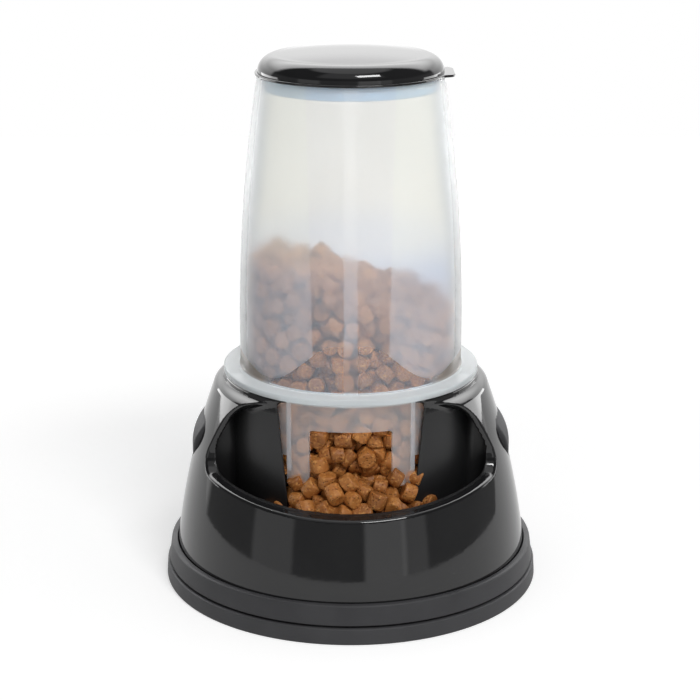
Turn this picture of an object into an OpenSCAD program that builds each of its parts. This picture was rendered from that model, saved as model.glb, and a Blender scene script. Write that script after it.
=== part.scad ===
// Gravity pet feeder: a translucent hopper stands in a round base with a front bowl.
// Millimetres, +Z up, the bowl faces -Y. The origin is on the floor, on the base's axis.

/* [Base shell] */
// Outer radius of the shell where it leaves the foot ring
shell_foot_r = 117.2; // [112:0.1:124]
// Outer radius of the shell at its shoulder, before the edge is rounded
shoulder_r = 89.4; // [88:0.1:96]
// Height of the shoulder above the floor
shoulder_z = 138; // [130:0.5:146]
// Radius of the arc between foot and shoulder, larger is flatter
shell_bulge_r = 486; // [300:1:900]
// Rounding of the shoulder's edge
shoulder_round = 4; // [1:0.5:5]
// How far the well's wall rises above the shoulder, up to the hopper's flange
well_rise = 4.1; // [2:0.1:8]
// Wall of the base shell
shell_wall = 2.6; // [2:0.1:3.4]

/* [Bowl] */
// Height of the bowl's floor
bowl_floor_z = 42; // [34:0.5:50]
// Height of the rim at the front
rim_front_z = 76; // [70:0.5:86]
// Tilt of the rim, which rises towards the hopper
rim_tilt = 9.6; // [4:0.1:12]
// Width of the rim between the outer surface and the bowl
rim_w = 9; // [6:0.5:12]
// Rounding between the bowl's floor and its outer wall
bowl_round = 16; // [8:1:20]
// Distance of the bowl's rear wall in front of the hopper's axis
bowl_back = 42.5; // [38:0.5:48]
// Rounding of the opening's upper corner, seen from the side
opening_round = 32; // [20:1:40]
// Rounding of the opening's lower corner, seen from the side
opening_foot_round = 7; // [3:0.5:10]
// Half width of the window in front of the chute, at its top
window_top = 46.5; // [44:0.5:52]
// Half width of that window at the bowl's floor
window_foot = 37; // [34:0.5:42]

/* [Hopper] */
// How far the flange reaches out past the chute below it
flange_reach = 4; // [3:0.1:6]
// Wall of the chute and the flange
chute_wall = 2.1; // [1.6:0.1:2.6]
// Lower edge of the skirt that stands in the well
skirt_z = 105; // [98:0.5:118]
// Lower edge of the chute's front panel, which holds the outlet
chute_z = 86; // [80:0.5:94]
// Half width of that panel
chute_half = 40.6; // [40:0.1:42]
// Half width of the outlet in the chute
outlet_half = 26.3; // [20:0.1:30]
// Top of the outlet
outlet_top_z = 124; // [112:0.5:130]
// Distance of the two chute ribs from the middle
chute_rib_x = 39.2; // [36:0.1:41]
// Width of a chute rib
chute_rib_w = 3; // [2:0.1:4]
// Length of the chute ribs below the flange
chute_rib_h = 49; // [30:1:52]
// How far the chute ribs stand out of the chute
chute_rib_d = 1.2; // [0.6:0.1:1.6]
// Rounding of the outlet's two upper corners
outlet_round = 2; // [1:0.5:6]
// Outer radius of the flange
flange_r = 84; // [83:0.1:90]
// Height of the flange's lip
flange_h = 4.1; // [3:0.1:6]
// How much is cut off the flange's front to make it flat there
flange_flat = 2.6; // [0.4:0.1:2.8]
// Bevel round the flange's upper edge
flange_edge = 1; // [0.4:0.1:1.6]
// Outer radius of the barrel at its foot
barrel_r = 73; // [68:0.1:76]
// Outer radius of the barrel at its mouth
neck_r = 59.4; // [56:0.1:64]
// Wall of the barrel
barrel_wall = 1.8; // [1.4:0.1:2.4]
// Straight length of the barrel above the flange
barrel_straight = 18.6; // [8:0.2:40]
// Length of the barrel above the flange
barrel_h = 190.5; // [150:0.5:230]
// Width of the rib inside the barrel's front
front_rib_w = 9; // [4:0.5:14]
// Depth of that rib
front_rib_d = 0.9; // [0.4:0.1:1.6]
// How far below the seal that rib ends
front_rib_end = 3; // [1:0.5:20]

/* [Lid] */
// Outer radius of the lid's lip
lid_lip_r = 61; // [59:0.1:68]
// Thickness of the lid's lip and of its tab
lid_lip_t = 1.6; // [1.2:0.1:2.4]
// Step from the lip in to the lid's body
lid_step = 1.6; // [0.8:0.1:2.4]
// Height of the lid above its lip, at the edge of the dome
lid_edge_h = 11; // [8:0.5:14]
// Rise of the dome in the middle
lid_dome_h = 3.2; // [1:0.1:6]
// Wall of the lid
lid_wall = 1.7; // [1.3:0.1:2.2]
// How far the pull tab stands out of the lip
tab_reach = 4.6; // [3:0.1:8]
// Width of the pull tab
tab_w = 36; // [20:1:44]
// Rounding of the pull tab's two outer corners
tab_round = 6; // [2:0.5:8]
// How far the seal reaches down into the barrel
seal_depth = 8.6; // [5:0.1:12]
// Thickness of the seal
seal_t = 2; // [1.5:0.1:2.6]

/* [Foot] */
// Height of the rubber band
band_h = 10.5; // [8:0.1:12]
// Thickness of the rubber band's lip at its top
band_t = 4.1; // [3:0.1:5]
// How much wider the rubber band is at the floor
band_flare = 0.7; // [0:0.1:1.5]
// Thickness of the rubber below the foot ring
band_floor_t = 3.2; // [2:0.1:4]
// Height of the foot ring's top above the floor
foot_top_z = 25; // [20:0.5:30]
// Wall of the foot ring inside the rubber band
ring_wall = 2.6; // [2:0.1:3.4]
// How far the foot ring's upper part overhangs that wall
ring_overhang = 3.1; // [2:0.1:4]
// How much the foot ring narrows towards its top
ring_taper = 1.8; // [0.5:0.1:2.6]
// Rounding of the foot ring's upper edge
ring_edge = 1.6; // [0.6:0.1:2]
// Rounding of the rubber band's upper edge
band_edge = 1.2; // [0.6:0.1:2]
// Thickness of the ledge that the shell stands on
ledge_t = 2.2; // [1.6:0.1:3]
// Width of that ledge
ledge_w = 5.6; // [4:0.1:8]
// Height of the groove between the rubber band and the foot ring
foot_groove = 1.5; // [1:0.1:2.5]

/* [Side grips] */
// Top of the grips
grip_top_z = 112; // [104:0.5:116]
// Radius of a grip's half-round outline
grip_outline_r = 33; // [28:0.5:40]
// How far behind the axis the grips are centred
grip_back = 7; // [2:0.5:14]
// Height at which the grips' upright face comes out of the shell
grip_face_z = 84.6; // [79:0.1:88]
// Rounding of the upright face into the grip's top
grip_round = 28; // [24:0.5:34]
// How far below the grip's top that rounding starts
grip_round_drop = 20; // [14:0.5:22]
// Rounding of the outline's two upper corners
grip_corner = 6; // [3:0.5:8]
// Width of the lip that holds a grip behind the shell
grip_lip = 3; // [2:0.1:4]
// Thickness of that lip
grip_lip_t = 1.6; // [1.2:0.1:2.2]

/* [Food ramp] */
// Height of the ramp's rear edge above the bowl's floor
ramp_rise = 76; // [50:1:84]
// Height of its front edge above the bowl's floor
ramp_front = 3; // [2.6:0.1:5]
// Wall of the ramp
ramp_wall = 2.2; // [1.6:0.1:2.5]

/* [Clearances] */
// Radial gap between the chute and the well that it stands in
chute_gap = 0.8; // [0.3:0.1:1.5]
// Radial gap between the chute and the ramp
ramp_gap = 1.1; // [0.5:0.1:2]
// Gap under a part that is lifted off
seat_gap = 0.2; // [0.1:0.05:0.4]
// Radial gap between the shell and the foot ring
ring_gap = 0.4; // [0.2:0.1:0.8]
// Gap round a grip and round the rubber's seat
fit_gap = 0.3; // [0.2:0.05:0.5]
// Gap between the seal and the lid's collar inside it
collar_gap = 0.1; // [0.05:0.05:0.3]

/* [Hidden] */
$fn = 180;
over = 1;                // a cutter's reach past what it cuts
arc_steps = 20;          // straight steps in a long arc
corner_steps = 8;        // straight steps in a rounded corner

// Levels, from the floor upwards
ledge_z = band_floor_t + ledge_t;                  // the shell stands here
ring_step_z = band_h + foot_groove;                // underside of the foot ring's upper part
well_top_z = shoulder_z + well_rise;               // the flange rests just above this
flange_z = well_top_z + seat_gap;
barrel_z = flange_z + flange_h;
bend_z = barrel_z + barrel_straight;
mouth_z = barrel_z + barrel_h;
lid_z = mouth_z + seat_gap;

// Radii
chute_r = flange_r - flange_reach;
well_r = chute_r + chute_gap;
well_out_r = well_r + shell_wall;
ring_in_r = shell_foot_r + ring_gap;
ring_out_r = ring_in_r + ring_wall;
foot_in_r = ring_in_r - ledge_w;
band_in_r = ring_out_r + fit_gap;
mouth_in_r = neck_r - barrel_wall;
seal_out_r = mouth_in_r - fit_gap;
collar_out_r = seal_out_r - seal_t - collar_gap;
lid_body_r = lid_lip_r - lid_step;
ramp_r = chute_r - chute_wall - ramp_gap;

// Centre of the shell's arc, through the foot point and the shoulder point
foot_pt = [shell_foot_r, foot_top_z];
shoulder_pt = [shoulder_r, shoulder_z];
shell_c = arc_centre(foot_pt, shoulder_pt, shell_bulge_r);

// Centre of the barrel's arc, which starts upright at the bend and ends at the mouth
barrel_drop = barrel_r - neck_r;
barrel_arc_r = (pow(mouth_z - bend_z, 2) + pow(barrel_drop, 2)) / (2 * barrel_drop);

// The rim's plane passes through the shell's outer surface at the front
rim_front_y = -shell_r(rim_front_z, 0);

// Radius of the grips' upright face about the base's axis
grip_face_r = shell_r(grip_face_z, 0);

function arc_centre(p, q, rad) =
    let (d = q - p, half = norm(d) / 2, side = [-d[1], d[0]] / norm(d))
    (p + q) / 2 + side * sqrt(rad * rad - half * half);

// Radius of the shell at a height, a given distance inside its outer surface
function shell_r(z, inset) =
    shell_c[0] + sqrt(pow(shell_bulge_r - inset, 2) - pow(z - shell_c[1], 2));

function barrel_out_r(z) =
    z <= bend_z ? barrel_r : barrel_r - barrel_arc_r + sqrt(pow(barrel_arc_r, 2) - pow(z - bend_z, 2));

// Points on an arc, from angle a to angle b
function arc(c, r, a, b, steps) =
    [for (i = [0:steps]) let (t = a + (b - a) * i / steps) c + r * [cos(t), sin(t)]];

// A point list along the shell's curve between two heights
function shell_curve(z0, z1, inset) =
    [for (i = [0:arc_steps]) let (z = z0 + (z1 - z0) * i / arc_steps) [shell_r(z, inset), z]];

// Centre of a rounding that touches the shell's curve from inside, at a given height
function round_centre(z, r, inset) =
    [shell_c[0] + sqrt(pow(shell_bulge_r - inset - r, 2) - pow(z - shell_c[1], 2)), z];

function touch_angle(c) = atan2(c[1] - shell_c[1], c[0] - shell_c[0]);
function touch_z(c, inset) = shell_c[1] + (shell_bulge_r - inset) * sin(touch_angle(c));

// Height of the rim's plane at a distance y from the axis
function rim_z(y) = rim_front_z + (y - rim_front_y) * tan(rim_tilt);

// The base's outer form, or its hollow when inset by the wall
module shell_form(inset, z0) {
    top_z = shoulder_z - inset;
    r = max(shoulder_round - inset, 1);
    c = round_centre(top_z - r, r, inset);
    rotate_extrude()
        polygon(concat([[0, z0], [shell_foot_r - inset, z0]],
                       shell_curve(foot_top_z, touch_z(c, inset), inset),
                       arc(c, r, touch_angle(c), 90, corner_steps),
                       [[0, top_z]]));
}

// The bowl's room, or its skin when grown by the wall
module bowl_form(grow) {
    r = bowl_round + grow;
    z0 = bowl_floor_z - grow;
    c = round_centre(z0 + r, r, rim_w - grow);
    intersection() {
        rotate_extrude()
            polygon(concat([[0, z0]],
                           arc(c, r, -90, touch_angle(c), corner_steps),
                           shell_curve(touch_z(c, rim_w - grow) + over, shoulder_z, rim_w - grow),
                           [[0, shoulder_z]]));
        front_block(-bowl_back + grow);
    }
}

// Everything in front of a plane across the base
module front_block(y) {
    size = 2 * (shell_foot_r + over);
    translate([-size / 2, y - size, -over]) cube([size, size, well_top_z + 2 * over]);
}

// The opening above the rim, as it is seen from the side
module opening_form(grow) {
    reach = 2 * shell_foot_r;
    back = -bowl_back + grow;
    top = well_top_z + grow;
    r_top = opening_round + grow;
    r_low = opening_foot_round + grow;
    drop = grow / cos(rim_tilt);
    low_c = [back - r_low, rim_z(back - r_low) - drop + r_low / cos(rim_tilt)];
    rotate([90, 0, 90])
        linear_extrude(2 * reach, center = true)
            polygon(concat([[-reach, rim_z(-reach) - drop]],
                           arc(low_c, r_low, rim_tilt - 90, 0, corner_steps),
                           arc([back - r_top, top - r_top], r_top, 0, 90, corner_steps),
                           [[-reach, top]]));
}

// The window in the well's wall, narrower towards the floor
module window_form() {
    slope = (window_top - window_foot) / (well_top_z - bowl_floor_z);
    top = window_top + slope * over;
    foot = window_foot - slope * (shell_wall + over);
    translate([0, -bowl_back, 0]) rotate([90, 0, 0])
        linear_extrude(shell_foot_r)
            polygon([[-foot, bowl_floor_z - shell_wall - over], [foot, bowl_floor_z - shell_wall - over],
                     [top, well_top_z + over], [-top, well_top_z + over]]);
}

// Outline of a side grip: a half circle below a straight top with rounded corners
function grip_outline(grow) =
    let (r = grip_outline_r + grow, k = grip_corner + grow,
         z_k = grip_top_z - grip_corner,
         y_k = sqrt(pow(r - k, 2) - pow(z_k - grip_top_z, 2)),
         a = atan2(grip_corner, y_k))
    concat(arc([y_k, z_k], k, 90, -a, corner_steps),
           arc([0, grip_top_z], r, -a, a - 180, arc_steps),
           arc([-y_k, z_k], k, a - 180, -270, corner_steps));

// That outline cut outwards through the shell's side, on side +1 or -1
module grip_prism(side, grow) {
    reach = shell_foot_r;
    translate([side > 0 ? reach / 2 : -3 * reach / 2, grip_back, 0])
        rotate([90, 0, 90]) linear_extrude(reach) polygon(grip_outline(grow));
}

module grip(side) {
    face_c = [grip_face_r - grip_round, grip_top_z - grip_round_drop];
    inner = shell_wall + fit_gap + grip_lip_t;
    low = grip_top_z - grip_outline_r - grip_lip - over;
    high = grip_top_z + grip_lip + over;
    end_a = asin((high - face_c[1]) / grip_round);
    intersection() {
        rotate_extrude()
            polygon(concat(shell_curve(high, low, inner),
                           [[grip_face_r, low]],
                           arc(face_c, grip_round, 0, end_a, corner_steps)));
        grip_prism(side, 0);
    }
    intersection() {
        rotate_extrude()
            polygon(concat(shell_curve(high, low, inner), shell_curve(low, high, shell_wall + fit_gap)));
        grip_prism(side, grip_lip);
    }
}

module base_shell() {
    color([0.11, 0.11, 0.12]) difference() {
        union() {
            difference() {
                shell_form(0, ledge_z);
                shell_form(shell_wall, -over);
            }
            intersection() {
                shell_form(0, ledge_z);
                union() {
                    opening_form(shell_wall);
                    bowl_form(shell_wall);
                }
            }
            translate([0, 0, bowl_floor_z - shell_wall])
                cylinder(r = well_out_r, h = well_top_z - bowl_floor_z + shell_wall);
        }
        difference() {
            union() {
                opening_form(0);
                bowl_form(0);
            }
            difference() {
                translate([0, 0, -over]) cylinder(r = well_out_r, h = well_top_z + 3 * over);
                window_form();
            }
        }
        translate([0, 0, bowl_floor_z]) cylinder(r = well_r, h = well_top_z);
        intersection() {
            window_form();
            translate([0, 0, bowl_floor_z]) cylinder(r = well_out_r + over, h = well_top_z);
        }
        grip_prism(1, fit_gap);
        grip_prism(-1, fit_gap);
    }
}

module food_ramp() {
    tilt = atan2(ramp_rise - ramp_front, 2 * ramp_r);
    color([0.13, 0.13, 0.14]) difference() {
        translate([0, 0, bowl_floor_z]) cylinder(r = ramp_r, h = ramp_rise + over);
        ramp_side(ramp_front, tilt, 1);
        intersection() {
            translate([0, 0, bowl_floor_z - over])
                cylinder(r = ramp_r - ramp_wall, h = ramp_rise + over);
            ramp_side(ramp_front - ramp_wall / cos(tilt), tilt, -1);
        }
    }
}

// The space above (up = 1) or below (up = -1) a plane that rises from the ramp's front edge
module ramp_side(front, tilt, up) {
    size = 6 * ramp_r;
    translate([0, -ramp_r, bowl_floor_z + front]) rotate([tilt, 0, 0])
        translate([-size / 2, -size / 2, up > 0 ? 0 : -size]) cube(size);
}

module foot_ring() {
    r_step = ring_out_r + ring_overhang;
    r_top = r_step - ring_taper;
    color([0.29, 0.29, 0.30]) rotate_extrude()
        polygon(concat([[foot_in_r, band_floor_t], [ring_out_r, band_floor_t], [ring_out_r, ring_step_z],
                        [r_step, ring_step_z]],
                       arc([r_top - ring_edge, foot_top_z - ring_edge], ring_edge, 0, 90, corner_steps),
                       [[ring_in_r, foot_top_z], [ring_in_r, ledge_z], [foot_in_r, ledge_z]]));
}

module non_slip_band() {
    r_top = band_in_r + band_t;
    color([0.27, 0.27, 0.28]) rotate_extrude()
        polygon(concat([[foot_in_r, 0], [r_top + band_flare, 0]],
                       arc([r_top - band_edge, band_h - band_edge], band_edge, 0, 90, corner_steps),
                       [[band_in_r, band_h], [band_in_r, band_floor_t], [foot_in_r, band_floor_t]]));
}

module grip_left() {
    color([0.33, 0.33, 0.34]) grip(-1);
}

module grip_right() {
    color([0.33, 0.33, 0.34]) grip(1);
}

// One of the two upright ribs beside the outlet
module chute_rib(x) {
    embed = chute_wall / 2;
    y = -sqrt(pow(chute_r, 2) - pow(x, 2));
    foot_z = barrel_z - chute_wall - chute_rib_h + chute_rib_w / 2;
    translate([x - chute_rib_w / 2, y - chute_rib_d, foot_z])
        cube([chute_rib_w, chute_rib_d + embed, barrel_z - chute_wall / 2 - foot_z]);
    translate([x, y - chute_rib_d, foot_z])
        rotate([-90, 0, 0]) cylinder(r = chute_rib_w / 2, h = chute_rib_d + embed);
}

module hopper() {
    under_z = barrel_z - chute_wall;
    in_r = barrel_r - barrel_wall;
    bend = [for (i = [0:arc_steps]) bend_z + (mouth_z - bend_z) * i / arc_steps];
    color([0.86, 0.88, 0.89, 0.6]) difference() {
        union() {
            rotate_extrude()
                polygon(concat([[chute_r - chute_wall, chute_z], [chute_r, chute_z], [chute_r, under_z],
                                [flange_r - chute_wall, under_z], [flange_r - chute_wall, flange_z],
                                [flange_r, flange_z], [flange_r, barrel_z - flange_edge],
                                [flange_r - flange_edge, barrel_z],
                                [barrel_r, barrel_z]],
                               [for (z = bend) [barrel_out_r(z), z]],
                               [for (i = [0:arc_steps]) let (z = bend[arc_steps - i])
                                    [barrel_out_r(z) - barrel_wall, z]],
                               [[in_r, under_z], [chute_r - chute_wall, under_z]]));
            for (side = [-1, 1]) chute_rib(side * chute_rib_x);
            front_rib();
        }
        // Flat at the front of the flange
        translate([-flange_r, flange_flat - 2 * flange_r, flange_z - over])
            cube([2 * flange_r, flange_r, flange_h + 2 * over]);
        // The skirt is shorter than the front panel
        difference() {
            translate([0, 0, chute_z - over]) cylinder(r = flange_r, h = skirt_z - chute_z + over);
            translate([-chute_half, -flange_r, chute_z - 2 * over])
                cube([2 * chute_half, flange_r, skirt_z - chute_z + 3 * over]);
        }
        // Outlet, open at the panel's lower edge
        translate([0, 0, chute_z - over]) rotate([90, 0, 0]) linear_extrude(flange_r)
            polygon(concat([[-outlet_half, 0], [outlet_half, 0]],
                           arc([outlet_half - outlet_round, outlet_top_z - chute_z + over - outlet_round],
                               outlet_round, 0, 90, corner_steps),
                           arc([-outlet_half + outlet_round, outlet_top_z - chute_z + over - outlet_round],
                               outlet_round, 90, 180, corner_steps)));
    }
}

// Flat rib up the inside of the barrel's front
module front_rib() {
    low = barrel_z;
    high = mouth_z - seal_depth - front_rib_end;
    zs = [for (i = [0:arc_steps]) low + (high - low) * i / arc_steps];
    intersection() {
        rotate_extrude()
            polygon(concat([for (z = zs) [barrel_out_r(z) - barrel_wall / 2, z]],
                           [for (i = [0:arc_steps]) let (z = zs[arc_steps - i])
                                [barrel_out_r(z) - barrel_wall - front_rib_d, z]]));
        translate([-front_rib_w / 2, -barrel_r - over, low - over])
            cube([front_rib_w, barrel_r, high - low + 2 * over]);
    }
}

// The lid's domed form without its lip, or its hollow when inset by the wall
module lid_form(inset) {
    edge_c = [lid_body_r - lid_edge_h, lid_z + lid_lip_t];
    dome = [for (i = [1:arc_steps]) let (t = i / arc_steps)
                [edge_c[0] * (1 - t), edge_c[1] + lid_edge_h - inset + lid_dome_h * (1 - pow(1 - t, 2))]];
    foot_z = lid_z - (inset > 0 ? over : 0);
    rotate_extrude()
        polygon(concat([[0, foot_z], [lid_body_r - inset, foot_z]],
                       arc(edge_c, lid_edge_h - inset, 0, 90, corner_steps), dome));
}

module lid() {
    tab_root = lid_lip_r - 2 * lid_step;
    tab_end = lid_lip_r + tab_reach - tab_round;
    tab_side = tab_w / 2 - tab_round;
    color([0.10, 0.10, 0.11]) {
        difference() {
            union() {
                lid_form(0);
                translate([0, 0, lid_z]) cylinder(r = lid_lip_r, h = lid_lip_t);
                // Pull tab, rounded at its two outer corners
                translate([0, 0, lid_z]) linear_extrude(lid_lip_t)
                    polygon(concat([[tab_root, -tab_w / 2]],
                                   arc([tab_end, -tab_side], tab_round, -90, 0, corner_steps),
                                   arc([tab_end, tab_side], tab_round, 0, 90, corner_steps),
                                   [[tab_root, tab_w / 2]]));
            }
            lid_form(lid_wall);
        }
        // Collar that carries the seal, cut off inside the dome's wall
        intersection() {
            difference() {
                translate([0, 0, lid_z - seal_depth])
                    cylinder(r = collar_out_r, h = seal_depth + 2 * lid_edge_h);
                translate([0, 0, lid_z - seal_depth - over])
                    cylinder(r = collar_out_r - lid_wall, h = seal_depth + 3 * lid_edge_h);
                translate([0, 0, lid_z - seal_depth - over])
                    cylinder(r = lid_body_r, h = seal_depth / 2 + over);
            }
            union() {
                lid_form(lid_wall / 2);
                translate([0, 0, lid_z - seal_depth]) cylinder(r = collar_out_r, h = seal_depth + lid_lip_t);
            }
        }
    }
}

module lid_seal() {
    color([0.62, 0.68, 0.74, 0.8]) difference() {
        translate([0, 0, mouth_z - seal_depth])
            cylinder(r = seal_out_r, h = seal_depth + seat_gap + lid_lip_t);
        translate([0, 0, mouth_z - seal_depth - over])
            cylinder(r = seal_out_r - seal_t, h = 2 * seal_depth + lid_lip_t);
    }
}

lid();
lid_seal();
hopper();
base_shell();
food_ramp();
foot_ring();
non_slip_band();
grip_left();
grip_right();
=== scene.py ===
"""The looks of the gravity pet feeder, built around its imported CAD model."""
import math

import bpy
import numpy as np
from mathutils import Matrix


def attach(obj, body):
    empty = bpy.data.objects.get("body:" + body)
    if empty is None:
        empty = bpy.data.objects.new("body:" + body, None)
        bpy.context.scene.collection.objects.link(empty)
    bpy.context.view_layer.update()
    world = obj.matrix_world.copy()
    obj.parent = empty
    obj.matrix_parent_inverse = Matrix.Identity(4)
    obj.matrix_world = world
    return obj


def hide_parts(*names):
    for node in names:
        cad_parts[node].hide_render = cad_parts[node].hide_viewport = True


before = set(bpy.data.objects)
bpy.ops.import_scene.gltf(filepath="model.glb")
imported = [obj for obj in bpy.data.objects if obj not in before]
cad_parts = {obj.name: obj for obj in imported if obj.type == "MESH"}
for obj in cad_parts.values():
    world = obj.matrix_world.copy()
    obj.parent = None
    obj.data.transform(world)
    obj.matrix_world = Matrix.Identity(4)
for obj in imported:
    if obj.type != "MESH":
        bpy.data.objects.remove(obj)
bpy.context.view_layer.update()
MM = 0.001

# ---------------------------------------------------------------- sizes, in millimetres
SHELL_C = (-365.39, -33.61)      # centre of the shell's arc, as (r, z)
SHELL_ARC_R = 486.0
SHELL_WALL = 2.6
SHOULDER_Z = 138.0
SHOULDER_ROUND = 4.0
WELL_TOP_Z = 142.1
WELL_R = 80.8
WELL_OUT_R = 83.4
LEDGE_Z = 5.4
BOWL_FLOOR_Z = 42.0
BOWL_ROUND = 16.0
BOWL_BACK = 42.5
RIM_W = 9.0
LIP_W = 3.6                      # the rim is thinner up the opening's sides
LIP_FROM_Z = 78.0
LIP_TO_Z = 106.0
RIM_FRONT_Z = 76.0
RIM_TILT = math.radians(9.6)
OPENING_ROUND = 24.0
OPENING_FOOT_ROUND = 14.0
OPENING_Y = -39.5                # the opening's edge leans forward from here
OPENING_Z = 85.0
OPENING_LEAN = 0.25
POCKET_BACK = 33.5               # the bowl's side rooms reach behind the opening's edge
POCKET_TOP_Z = 131.0
WINDOW_TOP = 46.5                # half widths of the well's window
WINDOW_FOOT = 37.0
WELL_ROUND = 1.1
WELL_FILLET = 0.8
BOWL_BACK_ROUND = 3.0
ROOM_ROUND = 2.0
OPENING_EDGE = 1.0
LIP_EDGE = 1.6
WINDOW_EDGE = 1.2
WINDOW_FILLET = 3.5
GRIP_HOLE_EDGE = 0.6
BASE_BOX = (-119, -119, 4), (119, 119, 144)

CHUTE_R = 80.0
CHUTE_WALL = 2.1
CHUTE_Z = 86.0
CHUTE_HALF = 40.6
SKIRT_Z = 105.0
OUTLET_HALF = 26.3
OUTLET_TOP_Z = 124.0
OUTLET_ROUND = 2.0
RIB_X = 39.2
RIB_W = 3.0
RIB_D = 1.2
RIB_FOOT_Z = 95.3
FLANGE_Z = 142.3
FLANGE_TOP_Z = 146.4
FLANGE_R = 84.0
FLANGE_FRONT = 81.4
BARREL_R = 73.0
BARREL_WALL = 1.8
BEND_Z = 165.0
MOUTH_Z = 336.9
NECK_R = 59.4
FRONT_RIB_W = 9.0
FRONT_RIB_D = 0.9
FRONT_RIB_TOP = 325.3
BARREL_FOOT_ZS = (152.0, 158.0)  # rings on the barrel's straight foot
HOPPER_STEP = 1.5                # degrees between the hopper's columns

LID_Z = 337.1
LID_LIP_R = 61.0
LID_LIP_T = 1.6
LID_BODY_R = 59.4
LID_EDGE_H = 11.0
LID_DOME_H = 3.2
LID_WALL = 1.7
TAB_REACH = 4.6
TAB_HALF = 18.0
TAB_ROUND = 6.0
SEAL_OUT_R = 57.3
SEAL_T = 2.0
SEAL_FOOT_Z = 328.3
COLLAR_IN_R = 53.5
COLLAR_OUT_R = 55.1
COLLAR_FOOT_Z = 333.0
COLLAR_TOP_Z = 347.0
DOME_STEPS = 16
DOME_HOLE_R = 0.4                # the dome's middle, filled by the gate mark
GATE_R = 0.9
GATE_TOP_R = 0.6

FOOT_TOP_Z = 25.0
RING_IN_R = 117.6
RING_OUT_R = 120.2
RING_STEP_R = 123.3
RING_TOP_R = 121.5
RING_STEP_Z = 12.0
FOOT_IN_R = 112.0
BAND_H = 10.5
BAND_IN_R = 120.5
BAND_TOP_R = 124.6
BAND_FLOOR_R = 125.3
BAND_FLOOR_T = 3.2

GRIP_TOP_Z = 112.0
GRIP_OUTLINE_R = 33.0
GRIP_BACK = 7.0
GRIP_FACE_R = 106.0
GRIP_ROUND = 28.0
GRIP_ROUND_Z = 92.0
GRIP_CORNER = 6.0
GRIP_LIP = 3.0
GRIP_LIP_T = 1.6
GRIP_IN_X = 58.6
GRIP_EDGE = 1.2
GRIP_BOX = (58, -32, 74), (108, 46, 117)  # around the right grip
FIT_GAP = 0.3

RAMP_FOOT_Z = 45.0
RAMP_TOP_Z = 118.0
RAMP_REACH = 76.8


# ---------------------------------------------------------------- meshes
def shown_object(name, verts, faces, body, slot, mat, normals=None, sharp=35.0):
    """A mesh object from millimetre vertices, riding on a body."""
    mesh = bpy.data.meshes.new(name)
    mesh.from_pydata((np.asarray(verts, float) * MM).tolist(), [], [tuple(map(int, f)) for f in faces])
    mesh.shade_smooth()
    if normals is None:
        mesh.set_sharp_from_angle(angle=math.radians(sharp))
    else:
        mesh.normals_split_custom_set_from_vertices(np.asarray(normals, float).tolist())
    mesh.materials.append(mat)
    obj = bpy.data.objects.new(name, mesh)
    bpy.context.scene.collection.objects.link(obj)
    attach(obj, body)
    return obj


def arc_points(cx, cz, r, a, b, steps):
    """Points on an arc between two angles in degrees."""
    angles = np.radians(np.linspace(a, b, steps + 1))
    return [(cx + r * math.cos(t), cz + r * math.sin(t)) for t in angles]


def rounded(points, steps=5):
    """A closed outline of (r, z, rounding) corners with each corner rounded."""
    out = []
    n = len(points)
    for i, (x, z, r) in enumerate(points):
        if r <= 0:
            out.append((x, z))
            continue
        p = np.array([x, z], float)
        a = np.array(points[i - 1][:2], float) - p
        b = np.array(points[(i + 1) % n][:2], float) - p
        la, lb = np.linalg.norm(a), np.linalg.norm(b)
        a, b = a / la, b / lb
        half = math.acos(max(-1.0, min(1.0, float(a @ b)))) / 2
        reach = min(r / math.tan(half), 0.49 * la, 0.49 * lb)
        r = reach * math.tan(half)
        mid = (a + b) / np.linalg.norm(a + b)
        c = p + mid * r / math.sin(half)
        p0, p1 = p + a * reach, p + b * reach
        t0 = math.atan2(*(p0 - c)[::-1])
        t1 = math.atan2(*(p1 - c)[::-1])
        turn = (t1 - t0 + math.pi) % (2 * math.pi) - math.pi
        out += [(c[0] + r * math.cos(t0 + turn * k / steps), c[1] + r * math.sin(t0 + turn * k / steps))
                for k in range(steps + 1)]
    return out


def grid_faces(rows, cols, closed_rows, closed_cols):
    """Quads over a grid of points, joined end to end where it is closed."""
    faces = []
    for i in range(rows if closed_rows else rows - 1):
        for j in range(cols if closed_cols else cols - 1):
            a = i * cols + j
            b = i * cols + (j + 1) % cols
            c = ((i + 1) % rows) * cols + (j + 1) % cols
            d = ((i + 1) % rows) * cols + j
            faces.append((a, b, c, d))
    return faces


def revolve(profile, steps=192):
    """A closed (r, z) outline turned about the Z axis, with outward faces for a clockwise outline."""
    verts = []
    for k in range(steps):
        t = 2 * math.pi * k / steps
        verts += [(r * math.cos(t), r * math.sin(t), z) for r, z in profile]
    return verts, grid_faces(steps, len(profile), True, True)


def outward(profile):
    """The outline in the order that gives outward faces."""
    area = sum(a[0] * b[1] - b[0] * a[1] for a, b in zip(profile, profile[1:] + profile[:1]))
    return profile if area < 0 else profile[::-1]


# ---------------------------------------------------------------- rounded solids from distance fields
def cut_both(a, b, r):
    """Where both fields are inside, with the edge between them rounded."""
    return np.minimum(-r, np.maximum(a, b)) + np.hypot(np.maximum(a + r, 0), np.maximum(b + r, 0))


def join_both(a, b, r):
    """Where either field is inside, with the corner between them filled."""
    return np.maximum(r, np.minimum(a, b)) - np.hypot(np.maximum(r - a, 0), np.maximum(r - b, 0))


def gradient(field, p, h=0.02):
    """The slope of a field at points, from steps of h each way."""
    out = np.empty_like(p)
    for axis in range(3):
        d = np.zeros(3)
        d[axis] = h
        out[:, axis] = (field(*(p + d).T) - field(*(p - d).T)) / (2 * h)
    return out


CORNERS = np.array([(i, j, k) for i in (0, 1) for j in (0, 1) for k in (0, 1)])
EDGES = [(a, b) for a in range(8) for b in range(a + 1, 8) if abs(CORNERS[a] - CORNERS[b]).sum() == 1]


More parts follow.
